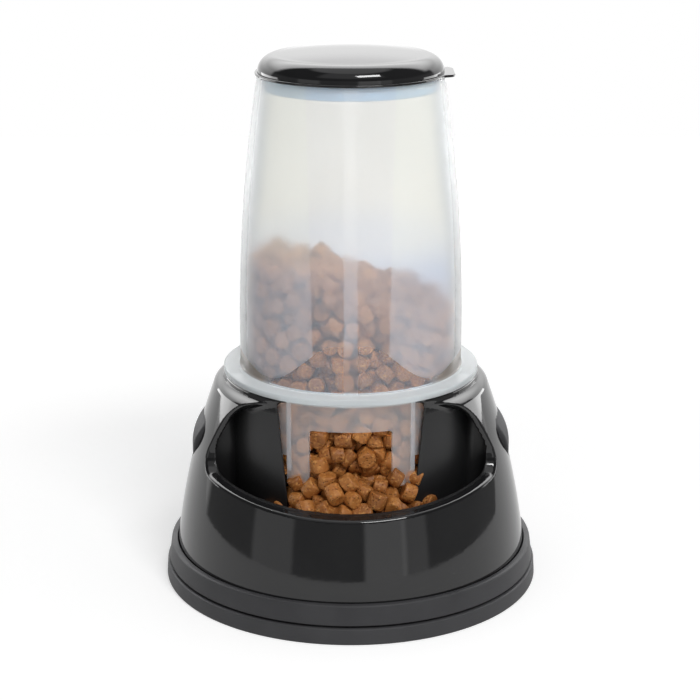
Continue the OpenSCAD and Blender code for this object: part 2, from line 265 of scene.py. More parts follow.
def surface(field, low, high, cell):
    """Quads on the zero level of a field, with their vertices moved onto it."""
    low, high = np.array(low, float), np.array(high, float)
    counts = np.ceil((high - low) / cell).astype(int) + 1
    axes = [low[i] + cell * np.arange(counts[i]) for i in range(3)]
    values = np.empty(counts, np.float32)
    for i, x in enumerate(axes[0]):
        y, z = np.meshgrid(axes[1], axes[2], indexing="ij")
        values[i] = field(np.full_like(y, x), y, z)
    inside = values < 0
    total = np.zeros(counts - 1, np.int8)
    for i, j, k in CORNERS:
        total += inside[i:counts[0] - 1 + i, j:counts[1] - 1 + j, k:counts[2] - 1 + k]
    cells = np.argwhere((total > 0) & (total < 8))
    index = np.full(counts - 1, -1, np.int64)
    index[tuple(cells.T)] = np.arange(len(cells))
    corner_values = np.stack([values[tuple((cells + c).T)] for c in CORNERS], 1).astype(float)
    sums = np.zeros((len(cells), 3))
    hits = np.zeros(len(cells))
    for a, b in EDGES:
        va, vb = corner_values[:, a], corner_values[:, b]
        crossed = (va < 0) != (vb < 0)
        t = np.where(crossed, va / np.where(crossed, va - vb, 1), 0)[:, None]
        sums += crossed[:, None] * (CORNERS[a] + t * (CORNERS[b] - CORNERS[a]))
        hits += crossed
    verts = low + cell * (cells + sums / hits[:, None])
    faces = []
    for axis in range(3):
        u, v = (axis + 1) % 3, (axis + 2) % 3
        step = np.eye(3, dtype=int)
        sl0 = [slice(None)] * 3
        sl1 = [slice(None)] * 3
        sl0[axis], sl1[axis] = slice(0, -1), slice(1, None)
        change = inside[tuple(sl0)] != inside[tuple(sl1)]
        at = np.argwhere(change)
        at = at[(at[:, u] > 0) & (at[:, v] > 0) & (at[:, u] < counts[u] - 1) & (at[:, v] < counts[v] - 1)]
        quad = np.stack([index[tuple((at - step[u] * p - step[v] * q).T)]
                         for p, q in ((1, 1), (0, 1), (0, 0), (1, 0))], 1)
        flip = ~inside[tuple(at.T)]
        quad[flip] = quad[flip][:, ::-1]
        faces.append(quad)
    return settle(field, verts, 3), np.concatenate(faces)


def settle(field, verts, rounds):
    """Moves points onto the zero level of a field."""
    for _ in range(rounds):
        g = gradient(field, verts)
        size = np.maximum((g * g).sum(1), 0.2)
        verts = verts - np.clip(field(*verts.T) / size, -0.5, 0.5)[:, None] * g
    return verts


def unit_gradient(field, verts):
    """The outward normals of a field at points."""
    g = gradient(field, verts)
    return g / np.maximum(np.linalg.norm(g, axis=1), 1e-6)[:, None]


def field_object(name, field, low, high, cell, keep, body, slot, mat):
    """A piece from a distance field, thinned where it is flat, with the field's own normals."""
    verts, faces = surface(field, low, high, cell)
    mesh = bpy.data.meshes.new(name + "_full")
    mesh.from_pydata(verts.tolist(), [], faces.tolist())
    full = bpy.data.objects.new(name + "_full", mesh)
    bpy.context.scene.collection.objects.link(full)
    thin = full.modifiers.new("thin", "DECIMATE")
    thin.ratio = keep
    bpy.context.view_layer.update()
    reduced = bpy.data.meshes.new_from_object(full.evaluated_get(bpy.context.evaluated_depsgraph_get()))
    verts = np.empty(len(reduced.vertices) * 3)
    reduced.vertices.foreach_get("co", verts)
    verts = settle(field, verts.reshape(-1, 3), 2)
    faces = [tuple(p.vertices) for p in reduced.polygons]
    bpy.data.objects.remove(full)
    bpy.data.meshes.remove(mesh)
    bpy.data.meshes.remove(reduced)
    return shown_object(name, verts, faces, body, slot, mat, unit_gradient(field, verts))


# ---------------------------------------------------------------- materials
class Nodes:
    """Short calls for building a node tree."""

    def __init__(self, tree):
        self.tree = tree

    def add(self, kind, inputs=None, **settings):
        node = self.tree.nodes.new(kind)
        for key, value in settings.items():
            setattr(node, key, value)
        for key, value in (inputs or {}).items():
            self.put(node.inputs[key], value)
        return node

    def put(self, socket, value):
        if isinstance(value, bpy.types.NodeSocket):
            self.tree.links.new(value, socket)
        else:
            socket.default_value = value

    def math(self, operation, a, b=0.0):
        return self.add("ShaderNodeMath", {0: a, 1: b}, operation=operation).outputs[0]

    def ramp(self, value, lo, hi, out_lo=0.0, out_hi=1.0, smooth=True):
        node = self.add("ShaderNodeMapRange", {0: value, 1: lo, 2: hi, 3: out_lo, 4: out_hi})
        node.interpolation_type = "SMOOTHSTEP" if smooth else "LINEAR"
        return node.outputs[0]

    def blend(self, factor, a, b):
        """A number that goes from a to b as the factor goes from 0 to 1."""
        return self.add("ShaderNodeMix", {0: factor, 2: a, 3: b}).outputs[0]

    def mix_color(self, factor, a, b):
        node = self.add("ShaderNodeMix", data_type="RGBA")
        self.put(node.inputs[0], factor)
        self.put(node.inputs[6], a)
        self.put(node.inputs[7], b)
        return node.outputs[2]

    def noise(self, vector, scale, detail=3.0, roughness=0.5):
        node = self.add("ShaderNodeTexNoise",
                        {"Vector": vector, "Scale": scale, "Detail": detail, "Roughness": roughness})
        return node.outputs["Fac"]

    def bump(self, height, distance, strength=1.0):
        node = self.add("ShaderNodeBump", {"Height": height, "Distance": distance, "Strength": strength})
        return node.outputs["Normal"]

    def place(self):
        return self.add("ShaderNodeTexCoord").outputs["Object"]

    def parts(self, vector):
        return self.add("ShaderNodeSeparateXYZ", {0: vector}).outputs

    def show(self, shader):
        self.add("ShaderNodeOutputMaterial", {0: shader.outputs[0]})


def new_material(name):
    """An empty material and the calls that fill its node tree."""
    mat = bpy.data.materials.new(name)
    mat.use_nodes = True
    mat.node_tree.nodes.clear()
    return mat, Nodes(mat.node_tree)


def linear(r, g, b):
    """A display colour of 0 to 255 as a linear colour."""
    def one(v):
        v /= 255
        return v / 12.92 if v <= 0.04045 else ((v + 0.055) / 1.055) ** 2.4
    return one(r), one(g), one(b), 1.0


def inside_shell(n, at):
    """1 for surfaces well inside the shell's arc and below the shoulder, as in the bowl."""
    x, y, z = n.parts(at)
    level = n.math("ADD", z, -SHELL_C[1] * MM)
    arc = (SHELL_ARC_R * MM) ** 2
    reach = n.math("SQRT", n.math("SUBTRACT", arc, n.math("MULTIPLY", level, level)))
    reach = n.math("ADD", reach, SHELL_C[0] * MM)
    r = n.math("SQRT", n.math("ADD", n.math("MULTIPLY", x, x), n.math("MULTIPLY", y, y)))
    deep = n.ramp(n.math("SUBTRACT", reach, r), 0.0035, 0.0070)
    return n.math("MULTIPLY", deep, n.ramp(z, 0.1310, 0.1350, 1.0, 0.0))


def plastic(name, color, rough, grain_scale, grain_depth, vary, ior=1.5, tone=None, inside_rough=None):
    """A moulded plastic with a fine grain and a slight unevenness in gloss and tone."""
    mat, n = new_material(name)
    at = n.place()
    broad = n.noise(at, 35.0, 2.0)
    grain = n.noise(at, grain_scale, 2.0)
    base = n.mix_color(n.ramp(broad, 0.3, 0.7), color, tone or color)
    gloss = n.ramp(broad, 0.25, 0.75, rough - vary, rough + vary)
    if inside_rough:
        gloss = n.blend(inside_shell(n, at), gloss, inside_rough)
    shader = n.add("ShaderNodeBsdfPrincipled", {
        "Base Color": base,
        "Roughness": gloss,
        "Normal": n.bump(grain, grain_depth),
        "IOR": ior})
    n.show(shader)
    return mat


def shadow_through(n, shader, tint):
    """Lets light past a translucent piece, dimmed by a tint."""
    clear = n.add("ShaderNodeBsdfTransparent", {"Color": tint})
    path = n.add("ShaderNodeLightPath")
    n.show(n.add("ShaderNodeMixShader", {0: path.outputs["Is Shadow Ray"],
                                         1: shader.outputs[0], 2: clear.outputs[0]}))


STRIPE_HALF = (0.0240, 0.0275)   # the clear stripe's half width at its foot and top, in metres
EDGE_WOBBLE = 0.0010
SHADOW_TINT = (0.86, 0.87, 0.88, 1.0)
# The "edge" entries paint shade on the barrel's left and right sides: more veil and a greyer, darker tone.
VEIL = {"arch": 0.11, "beside": 0.62, "edge": 0.08, "rib_foot": 0.12, "rib": 0.26,
        "flange": 0.72, "chute": 0.17}
ROUGH = {"sides": 0.45, "stripe": 0.28, "arch": 0.14, "rib": 0.50, "flange": 0.30, "chute": 0.42}
HAZE_TONE = {
    "frosted_outside": linear(246, 247, 244),
    "frosted_inside": linear(246, 246, 242),
    "clear": linear(246, 246, 245),
    "low": linear(230, 235, 243),
    "edge": linear(224, 227, 228),
    "beside": linear(166, 158, 151),
    "flange": linear(222, 227, 229),
    "chute": linear(228, 230, 233)}


def frosted_material(name, haze, window_haze):
    """Translucent plastic, frosted but for a clear stripe that widens into an arch at its foot."""
    mat, n = new_material(name)
    at = n.place()
    x, y, z = n.parts(at)
    ax = n.math("ABSOLUTE", x)
    wobble = n.math("MULTIPLY", n.math("SUBTRACT", n.noise(at, 60.0, 1.0), 0.5), EDGE_WOBBLE)
    ax = n.math("ADD", ax, wobble)
    front = n.ramp(y, -0.022, -0.014, 1.0, 0.0)
    # Zones, each 1 inside: stripe, arch, flange, chute, rib, and the barrel's foot and outer sides
    stripe = n.ramp(z, 0.165, 0.330, *STRIPE_HALF, smooth=False)
    in_stripe = n.math("MULTIPLY", n.ramp(n.math("SUBTRACT", ax, stripe), -0.0006, 0.0003, 1.0, 0.0), front)
    slope = n.ramp(ax, 0.010, 0.052, 0.1775, 0.1515)
    foot = n.ramp(ax, 0.054, 0.073, 0.1512, 0.1590)
    clear_z = n.math("MAXIMUM", foot, n.math("MULTIPLY", slope, front))
    in_arch = n.ramp(n.math("SUBTRACT", z, clear_z), -0.0008, 0.0008, 1.0, 0.0)
    in_flange = n.ramp(z, 0.1468, 0.1476, 1.0, 0.0)
    in_chute = n.ramp(z, 0.1400, 0.1412, 1.0, 0.0)
    rib = n.math("MULTIPLY", n.ramp(ax, 0.0041, 0.0047, 1.0, 0.0), front)
    rib = n.math("MULTIPLY", rib, n.ramp(z, 0.1465, 0.1475))
    beside = n.math("MULTIPLY", n.ramp(ax, 0.048, 0.058), in_arch)
    reach = n.ramp(z, BEND_Z * MM, MOUTH_Z * MM, BARREL_R * MM, NECK_R * MM)
    # edge is 1 near the barrel's left and right sides: a painted shade that greys and darkens the frosting
    # there.
    edge = n.ramp(n.math("SUBTRACT", ax, reach), -0.012, -0.001)
    low = n.ramp(z, 0.215, 0.245, 1.0, 0.0)
    # How much of the surface scatters
    veil = n.ramp(n.noise(at, 28.0, 2.0), 0.35, 0.65, haze - 0.02, haze + 0.02)
    window = n.ramp(z, 0.165, 0.235, 0.8 * window_haze, 1.4 * window_haze, smooth=False)
    veil = n.blend(in_stripe, veil, window)
    veil = n.blend(in_arch, veil, VEIL["arch"])
    veil = n.blend(beside, veil, VEIL["beside"])
    # Painted shade: more veil near the barrel's sides.
    veil = n.math("ADD", veil, n.math("MULTIPLY", edge, VEIL["edge"]))
    veil = n.blend(rib, veil, n.ramp(z, 0.165, 0.185, VEIL["rib_foot"], VEIL["rib"]))
    veil = n.blend(in_flange, veil, VEIL["flange"])
    veil = n.blend(in_chute, veil, VEIL["chute"])
    gloss = n.blend(in_stripe, ROUGH["sides"], ROUGH["stripe"])
    gloss = n.blend(in_arch, gloss, ROUGH["arch"])
    gloss = n.blend(rib, gloss, ROUGH["rib"])
    gloss = n.blend(in_flange, gloss, n.blend(in_chute, ROUGH["flange"], ROUGH["chute"]))
    tone = n.mix_color(n.math("MAXIMUM", in_stripe, in_arch), HAZE_TONE[name], HAZE_TONE["clear"])
    tone = n.mix_color(low, tone, HAZE_TONE["low"])
    # Painted shade: a darker, greyer tone near the barrel's sides.
    tone = n.mix_color(edge, tone, HAZE_TONE["edge"])
    tone = n.mix_color(beside, tone, HAZE_TONE["beside"])
    tone = n.mix_color(in_flange, tone, n.mix_color(in_chute, HAZE_TONE["flange"], HAZE_TONE["chute"]))
    shader = n.add("ShaderNodeBsdfPrincipled", {
        "Base Color": tone,
        "Roughness": gloss,
        "Transmission Weight": n.math("SUBTRACT", 1.0, veil),
        "Normal": n.bump(n.noise(at, 900.0, 2.0), 0.00002, 0.3),
        "Specular IOR Level": 0.15,
        "IOR": 1.06})
    shadow_through(n, shader, SHADOW_TINT)
    return mat


def seal_material():
    mat, n = new_material("seal_plastic")
    at = n.place()
    shader = n.add("ShaderNodeBsdfPrincipled", {
        "Base Color": n.mix_color(n.noise(at, 40.0), linear(128, 166, 198), linear(138, 174, 203)),
        "Roughness": n.ramp(n.noise(at, 120.0), 0.3, 0.7, 0.28, 0.36),
        "Normal": n.bump(n.noise(at, 1500.0, 1.0), 0.00002),
        "IOR": 1.43})
    n.show(shader)
    return mat


def kibble_material():
    """Baked pet food: each piece its own brown, with an open, crumbly surface whose raised grains carry a
    painted highlight, and small sunk pits darkened by a painted shade.
    """
    mat, n = new_material("kibble")
    at = n.place()
    piece = n.add("ShaderNodeNewGeometry").outputs["Random Per Island"]
    crumb_and_painted_light = n.noise(at, 520.0, 3.0, 0.55)
    broad = n.noise(at, 150.0, 2.0)
    pits = n.add("ShaderNodeTexVoronoi", {"Vector": at, "Scale": 480.0, "Randomness": 1.0})
    pit_and_painted_shade = n.ramp(pits.outputs["Distance"], 0.10, 0.34, 1.0, 0.0)
    tone = n.mix_color(piece, linear(136, 84, 40), linear(180, 118, 60))
    tone = n.mix_color(n.ramp(broad, 0.35, 0.65, 0.0, 0.5), tone, linear(160, 94, 40))
    # Painted highlight: the raised grain, lifted by the bump below, is also tinted lighter.
    tone = n.mix_color(n.ramp(crumb_and_painted_light, 0.50, 0.70, 0.0, 0.65), tone, linear(214, 156, 88))
    # Painted shade: the pits, sunk by the bump below, are also darkened in colour.
    tone = n.mix_color(n.math("MULTIPLY", pit_and_painted_shade, 0.60), tone, linear(84, 44, 18))
    height = n.math("SUBTRACT", n.math("MULTIPLY", crumb_and_painted_light, 0.5), n.math("MULTIPLY", pit_and_painted_shade, 0.5))
    shader = n.add("ShaderNodeBsdfPrincipled", {
        "Base Color": tone,
        "Roughness": n.ramp(crumb_and_painted_light, 0.3, 0.7, 0.34, 0.60),
        "Normal": n.bump(height, 0.0009, 0.9),
        "IOR": 1.4})
    n.show(shader)
    return mat


MATTE_IOR = 1.3                  # weaker reflections than the gloss plastics
base_black = plastic("base_plastic", linear(27, 27, 28), 0.06, 260.0, 0.000012, 0.02,
                     tone=linear(30, 30, 31), inside_rough=0.42)
lid_black = plastic("lid_plastic", linear(27, 27, 28), 0.07, 260.0, 0.000012, 0.02, tone=linear(30, 30, 31))
ramp_black = plastic("ramp_plastic", linear(34, 34, 35), 0.25, 900.0, 0.00003, 0.05)
foot_grey = plastic("foot_plastic", linear(60, 60, 62), 0.50, 2600.0, 0.00006, 0.05, MATTE_IOR,
                    linear(66, 66, 68))
foot_rubber = plastic("foot_rubber", linear(64, 64, 66), 0.55, 2400.0, 0.00008, 0.06, MATTE_IOR,
                      linear(70, 70, 72))
grip_grey = plastic("grip_plastic", linear(66, 66, 68), 0.60, 1800.0, 0.00012, 0.06, MATTE_IOR,
                    linear(72, 72, 74))
frosted = frosted_material("frosted_outside", 0.26, 0.16)
frosted_in = frosted_material("frosted_inside", 0.24, 0.13)
seal_blue = seal_material()
kibble_brown = kibble_material()


# ---------------------------------------------------------------- base
def shell_field(r, z):
    """The shell's outside, from its arc."""
    return np.hypot(r - SHELL_C[0], z - SHELL_C[1]) - SHELL_ARC_R


def opening_field(y, z):
    """The bowl's opening: above the tilted rim, in front of the leaning back edge."""
    rim_front_y = -(SHELL_C[0] + math.sqrt(SHELL_ARC_R ** 2 - (RIM_FRONT_Z - SHELL_C[1]) ** 2))
    rim = (RIM_FRONT_Z + (y - rim_front_y) * math.tan(RIM_TILT) - z) * math.cos(RIM_TILT)
    back = (y - OPENING_Y + OPENING_LEAN * (z - OPENING_Z)) / math.hypot(1, OPENING_LEAN)
    return cut_both(cut_both(back, z - WELL_TOP_Z, OPENING_ROUND), rim, OPENING_FOOT_ROUND)


def grip_outline_field(y, z):
    """The grip's half-round outline, seen from the side."""
    return cut_both(np.hypot(y - GRIP_BACK, z - GRIP_TOP_Z) - GRIP_OUTLINE_R, z - GRIP_TOP_Z, GRIP_CORNER)


def base_field(x, y, z):
    """The shell with its shoulder, bowl, well and grip holes, hollow underneath."""
    r = np.hypot(x, y)
    shell = shell_field(r, z)
    well = cut_both(r - WELL_OUT_R, z - WELL_TOP_Z, WELL_ROUND)
    body = join_both(cut_both(shell, z - SHOULDER_Z, SHOULDER_ROUND), well, WELL_FILLET)
    opening = opening_field(y, z)
    lip = RIM_W + (LIP_W - RIM_W) * np.clip((z - LIP_FROM_Z) / (LIP_TO_Z - LIP_FROM_Z), 0, 1)
    bowl = cut_both(cut_both(shell + lip, BOWL_FLOOR_Z - z, BOWL_ROUND), y + POCKET_BACK, BOWL_BACK_ROUND)
    bowl = cut_both(bowl, z - POCKET_TOP_Z, BOWL_BACK_ROUND)
    room = cut_both(r - WELL_R, BOWL_FLOOR_Z - z, ROOM_ROUND)
    solid = cut_both(body, cut_both(-opening, -bowl, OPENING_EDGE), LIP_EDGE)
    half = WINDOW_FOOT + (z - BOWL_FLOOR_Z) * (WINDOW_TOP - WINDOW_FOOT) / (WELL_TOP_Z - BOWL_FLOOR_Z)
    window = np.maximum(np.abs(x) - half, y + BOWL_BACK)
    solid = join_both(solid, cut_both(well, -window, WINDOW_EDGE), WINDOW_FILLET)
    solid = cut_both(solid, -room, WELL_ROUND)
    hollow = np.maximum(np.maximum(shell, z - SHOULDER_Z) + SHELL_WALL,
                        SHELL_WALL - np.minimum(np.minimum(opening, bowl), room))
    solid = np.maximum(solid, -hollow)
    hole = np.maximum(grip_outline_field(y, z) - FIT_GAP, GRIP_IN_X - np.abs(x))
    solid = cut_both(solid, -hole, GRIP_HOLE_EDGE)
    return np.maximum(solid, LEDGE_Z - z)


def grip_field(side):
    """The field of one grip: a plate in the shell's hole and a lip behind it."""
    def field(x, y, z):
        r = np.hypot(x, y)
        shell = shell_field(r, z)
        outline = np.maximum(grip_outline_field(y, z), GRIP_IN_X - side * x)
        face = cut_both(r - GRIP_FACE_R, z - GRIP_ROUND_Z - GRIP_ROUND, GRIP_ROUND)
        inner = SHELL_WALL + FIT_GAP + GRIP_LIP_T
        plate = np.maximum(cut_both(face, outline, GRIP_EDGE), -shell - inner)
        lip = np.maximum(np.maximum(outline - GRIP_LIP, shell + SHELL_WALL + FIT_GAP), -shell - inner)
        return np.minimum(plate, lip)
    return field


BASE_CELL, BASE_KEEP, GRIP_CELL = ((1.1, 0.3, 0.9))
GRIP_KEEP = 0.35
base = field_object("base_shell_moulding", base_field, *BASE_BOX, BASE_CELL, BASE_KEEP,
                    "base", "base_plastic", base_black)
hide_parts("base_shell")
for side, word in ((-1, "left"), (1, "right")):
    (near_x, *low), (far_x, *high) = GRIP_BOX
    low_x, high_x = sorted((side * near_x, side * far_x))
    grip = field_object("side_grip_" + word, grip_field(side), (low_x, *low), (high_x, *high),
                        GRIP_CELL, GRIP_KEEP, "base", "grip_plastic", grip_grey)
    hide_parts("grip_" + word)

ring_profile = rounded([
    (FOOT_IN_R, BAND_FLOOR_T, 0), (RING_OUT_R, BAND_FLOOR_T, 0), (RING_OUT_R, RING_STEP_Z, 0),
    (RING_STEP_R, RING_STEP_Z, 0.6), (RING_TOP_R, FOOT_TOP_Z, 1.6), (RING_IN_R, FOOT_TOP_Z, 0.4),
    (RING_IN_R, LEDGE_Z, 0), (FOOT_IN_R, LEDGE_Z, 0)])
ring = shown_object("foot_ring_moulding", *revolve(outward(ring_profile)), "base", "foot_plastic", foot_grey)
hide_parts("foot_ring")

band_profile = rounded([
    (FOOT_IN_R, 0, 0.3), (BAND_FLOOR_R, 0, 0.8), (BAND_TOP_R, BAND_H, 1.3), (BAND_IN_R, BAND_H, 0.3),
    (BAND_IN_R, BAND_FLOOR_T, 0), (FOOT_IN_R, BAND_FLOOR_T, 0.3)])
band = shown_object("non_slip_rubber", *revolve(outward(band_profile)), "base", "foot_rubber", foot_rubber)
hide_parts("non_slip_band")

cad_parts["food_ramp"].data.materials.clear()
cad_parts["food_ramp"].data.materials.append(ramp_black)


# ---------------------------------------------------------------- hopper
def barrel_radius(z):
    """The barrel's outer radius, straight below the bend and curved above it."""
    drop = BARREL_R - NECK_R
    arc = ((MOUTH_Z - BEND_Z) ** 2 + drop ** 2) / (2 * drop)
    if z <= BEND_Z:
        return BARREL_R
    return BARREL_R - arc + math.sqrt(arc ** 2 - (z - BEND_Z) ** 2)


def smooth_step(t):
    """0 to 1 with soft ends."""
    t = min(1.0, max(0.0, t))
    return t * t * (3 - 2 * t)


def chute_foot(x, front):
    """Lower edge of the chute at a distance x from the middle."""
    x = abs(x)
    if not front or x >= CHUTE_HALF:
        return SKIRT_Z
    if x >= OUTLET_HALF:
        return CHUTE_Z
    corner = OUTLET_HALF - OUTLET_ROUND
    if x <= corner:
        return OUTLET_TOP_Z
    return OUTLET_TOP_Z - OUTLET_ROUND + math.sqrt(max(OUTLET_ROUND ** 2 - (x - corner) ** 2, 0))


def hopper_angles():
    """Angles from the front, closer together at the outlet, the panel's edges and the rib."""
    a = set(np.round(np.arange(-180, 180, HOPPER_STEP), 4))
    for m in (OUTLET_HALF, CHUTE_HALF):
        t = math.degrees(math.asin(m / CHUTE_R))
        for s in (-1, 1):
            a |= {round(s * (t - 0.02), 4), round(s * (t + 0.02), 4)}
    for k in range(9):
        x = OUTLET_HALF - OUTLET_ROUND * (1 - math.sin(math.pi / 2 * k / 8))
        t = math.degrees(math.asin(x / CHUTE_R)) - 0.03
        a |= {round(t, 4), round(-t, 4)}
    for x in np.linspace(FRONT_RIB_W / 2 - 0.8, FRONT_RIB_W / 2 + 0.6, 6):
        t = math.degrees(math.asin(x / BARREL_R))
        a |= {round(t, 4), round(-t, 4)}
    return sorted(a)


def hopper_profile(angle):
    """The hopper's closed outline at an angle in degrees from the front."""
    t = math.radians(angle)
    front = math.cos(t) > 0
    foot = chute_foot(CHUTE_R * math.sin(t), front)
    flange = FLANGE_R
    if front and FLANGE_FRONT / math.cos(t) < FLANGE_R:
        flange = FLANGE_FRONT / math.cos(t)
    near = smooth_step((FRONT_RIB_W / 2 + 0.4 - abs(BARREL_R * math.sin(t))) / 1.0) if front else 0.0
    rib = FRONT_RIB_D * near
    under = FLANGE_TOP_Z - CHUTE_WALL
    in_r = CHUTE_R - CHUTE_WALL
    pts = [(in_r, foot, 0.5), (CHUTE_R, foot, 0.5), (CHUTE_R, under, 0.8), (flange - CHUTE_WALL, under, 0.5),
           (flange - CHUTE_WALL, FLANGE_Z, 0.6), (flange, FLANGE_Z, 0.6), (flange, FLANGE_TOP_Z, 1.0),
           (BARREL_R, FLANGE_TOP_Z, 2.2)]
    heights = np.concatenate([BARREL_FOOT_ZS, np.linspace(BEND_Z, MOUTH_Z, 40)])
    pts += [(barrel_radius(z), z, 0) for z in heights[:-1]]
    pts += [(NECK_R, MOUTH_Z, 0.5), (NECK_R - BARREL_WALL, MOUTH_Z, 0.5)]
    for z in heights[:-1][::-1]:
        depth = rib * smooth_step((FRONT_RIB_TOP - z) / 4.0)
        pts.append((barrel_radius(z) - BARREL_WALL - depth, z, 0))
    pts += [(BARREL_R - BARREL_WALL - rib, under, 2.0), (in_r, under, 0.8)]
    return rounded(pts, 4)


def build_hopper():
    verts = []
    angles = hopper_angles()
    for a in angles:
        t = math.radians(a)
        profile = hopper_profile(a)
        verts += [(r * math.sin(t), -r * math.cos(t), z) for r, z in profile]
    faces = grid_faces(len(angles), len(profile), True, True)
    return verts, faces


verts, faces = build_hopper()
PROFILE_COUNT = len(hopper_profile(0.0))
# The inside starts at the mouth's inner edge, halfway through the profile
INSIDE_FROM = max(range(PROFILE_COUNT), key=lambda k: hopper_profile(90.0)[k][1]) + 5
hopper = shown_object("hopper_moulding", verts, faces, "hopper", "frosted_plastic", frosted, sharp=50.0)
hopper.data.materials.append(frosted_in)
hopper.data.polygons.foreach_set("material_index", [int(k % PROFILE_COUNT >= INSIDE_FROM)
                                                    for k in range(len(faces))])
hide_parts("hopper")


def chute_rib(side):
    """A half-round strip on the chute's outside."""
    rows = []
    zs = [RIB_FOOT_Z + RIB_W / 2 * (1 - math.cos(math.pi / 2 * k / 6)) for k in range(7)]
    zs += list(np.linspace(RIB_FOOT_Z + 3, FLANGE_TOP_Z - CHUTE_WALL - 0.1, 12))
    for z in zs:
        w = RIB_W / 2
        d = z - RIB_FOOT_Z
        if d < w:
            w = math.sqrt(max(w * w - (w - d) ** 2, 0.01))
        section = rounded([(-w, 0.15, 0), (w, 0.15, 0), (w, RIB_D, min(0.5, w * 0.4)),
                           (-w, RIB_D, min(0.5, w * 0.4))], 3)
        row = []
        for u, v in section:
            x = side * RIB_X + u
            y = -math.sqrt(CHUTE_R ** 2 - x * x) - v + 0.1
            row.append((x, y, z))
        rows.append(row)
    cols = len(rows[0])
    verts = [p for row in rows for p in row]
    faces = grid_faces(len(rows), cols, False, True)
    faces.append(tuple(range(cols)))
    faces.append(tuple(range(len(verts) - 1, len(verts) - cols - 1, -1)))
    return verts, faces


for side, word in ((-1, "left"), (1, "right")):
    verts, faces = chute_rib(side)
    shown_object("chute_rib_" + word, verts, faces, "hopper", "frosted_plastic", frosted)

seal_profile = rounded([
    (SEAL_OUT_R - SEAL_T, SEAL_FOOT_Z, 0.6), (SEAL_OUT_R, SEAL_FOOT_Z, 0.8),
    (SEAL_OUT_R, LID_Z + LID_LIP_T, 0.3), (SEAL_OUT_R - SEAL_T, LID_Z + LID_LIP_T, 0.3)])
seal = shown_object("lid_seal_ring", *revolve(outward(seal_profile)), "lid", "seal_plastic", seal_blue)
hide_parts("lid_seal")


# ---------------------------------------------------------------- lid
def tab_radius(t):
    """Outer radius of the lid's lip at an angle from +X, where the pull tab stands out."""
    def field(x, y):
        lip = np.hypot(x, y) - LID_LIP_R
        bx = LID_LIP_R + TAB_REACH - TAB_ROUND
        dx = np.maximum(x - bx, 0)
        dy = np.maximum(np.abs(y) - (TAB_HALF - TAB_ROUND), 0)
        box = np.maximum(np.hypot(dx, dy) - TAB_ROUND, -x)
        return join_both(lip, box, 2.5)
    lo, hi = LID_LIP_R - 1, LID_LIP_R + TAB_REACH + 1
    for _ in range(30):
        mid = (lo + hi) / 2
        if field(mid * math.cos(t), mid * math.sin(t)) < 0:
            lo = mid
        else:
            hi = mid
    return lo


def build_lid(steps=288):
    verts = []
    edge_r = LID_BODY_R - LID_EDGE_H
    edge_z = LID_Z + LID_LIP_T

    def dome(i, sink=0.0):
        s = i / DOME_STEPS
        return (edge_r * (1 - s) + DOME_HOLE_R * s,
                edge_z + LID_EDGE_H + LID_DOME_H * (1 - (1 - s) ** 2) - sink)

    for k in range(steps):
        t = 2 * math.pi * k / steps
        lip = tab_radius(t)
        profile = rounded([(LID_BODY_R - LID_WALL, LID_Z, 0.2), (lip, LID_Z, 0.5),
                           (lip, LID_Z + LID_LIP_T, 0.6), (LID_BODY_R, LID_Z + LID_LIP_T, 0.5)], 4)
        profile += arc_points(edge_r, edge_z, LID_EDGE_H, 8, 90, 14)
        profile += [dome(i) for i in range(1, DOME_STEPS + 1)]
        profile += [(DOME_HOLE_R, edge_z + LID_EDGE_H + LID_DOME_H - LID_WALL)]
        profile += [dome(i, LID_WALL) for i in range(DOME_STEPS - 1, 0, -1)]
        profile += arc_points(edge_r, edge_z, LID_EDGE_H - LID_WALL, 90, 8, 10)
        verts += [(r * math.cos(t), r * math.sin(t), z) for r, z in profile]
    return verts, grid_faces(steps, len(profile), True, True)


verts, faces = build_lid()
lid = shown_object("lid_moulding", verts, faces, "lid", "lid_plastic", lid_black)
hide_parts("lid")

collar_profile = rounded([(COLLAR_IN_R, COLLAR_FOOT_Z, 0.4), (COLLAR_OUT_R, COLLAR_FOOT_Z, 0.4),
                          (COLLAR_OUT_R, COLLAR_TOP_Z, 0), (COLLAR_IN_R, COLLAR_TOP_Z, 0)])
shown_object("lid_collar", *revolve(outward(collar_profile), 128), "lid", "lid_plastic", lid_black)

top_z = LID_Z + LID_LIP_T + LID_EDGE_H + LID_DOME_H
gate_profile = [(0.0, top_z - 1.5), (GATE_R, top_z - 1.5), (GATE_R, top_z - 0.25),
                (GATE_TOP_R, top_z - 0.02), (0.0, top_z)]
gate_profile = [(r + 0.01, z) for r, z in gate_profile]
shown_object("lid_gate_mark", *revolve(outward(gate_profile), 32), "lid", "lid_plastic", lid_black)


# ---------------------------------------------------------------- kibble
PIECE_R = 5.6                    # a piece of food, in millimetres
PACK_R = 5.95                    # half the room between two pieces
WALL_SPARE = 1.0                 # the least room between a piece and the hopper's wall
SPARE_TOP = 28.0                 # packed above the heap's surface, then taken off
PACKED_SHARE = 0.60
LIFTED_FROM_Z = 112.0            # food above this goes up with the hopper
HOPPER_BOX = (-78, -78, 45), (78, 78, 255)
BOWL_BOX = (-90, -112, 42), (90, -60, 150)
HOPPER_HEAP_Z = 215
HEAP_FALL_X = 0.24               # how much lower the food lies towards the right and the back
HEAP_FALL_Y = 0.06
BOWL_HEAP_Z = 119
BOWL_FRONT_Y = 74.0              # the bowl's food starts to fall this far in front of the axis
BOWL_FALL = 1.55
BOWL_BACK_Y = -60


def ramp_height(y):
    """Top of the food ramp at a distance y from the axis."""
    return RAMP_FOOT_Z + (y + RAMP_REACH) * (RAMP_TOP_Z - RAMP_FOOT_Z) / (2 * RAMP_REACH)


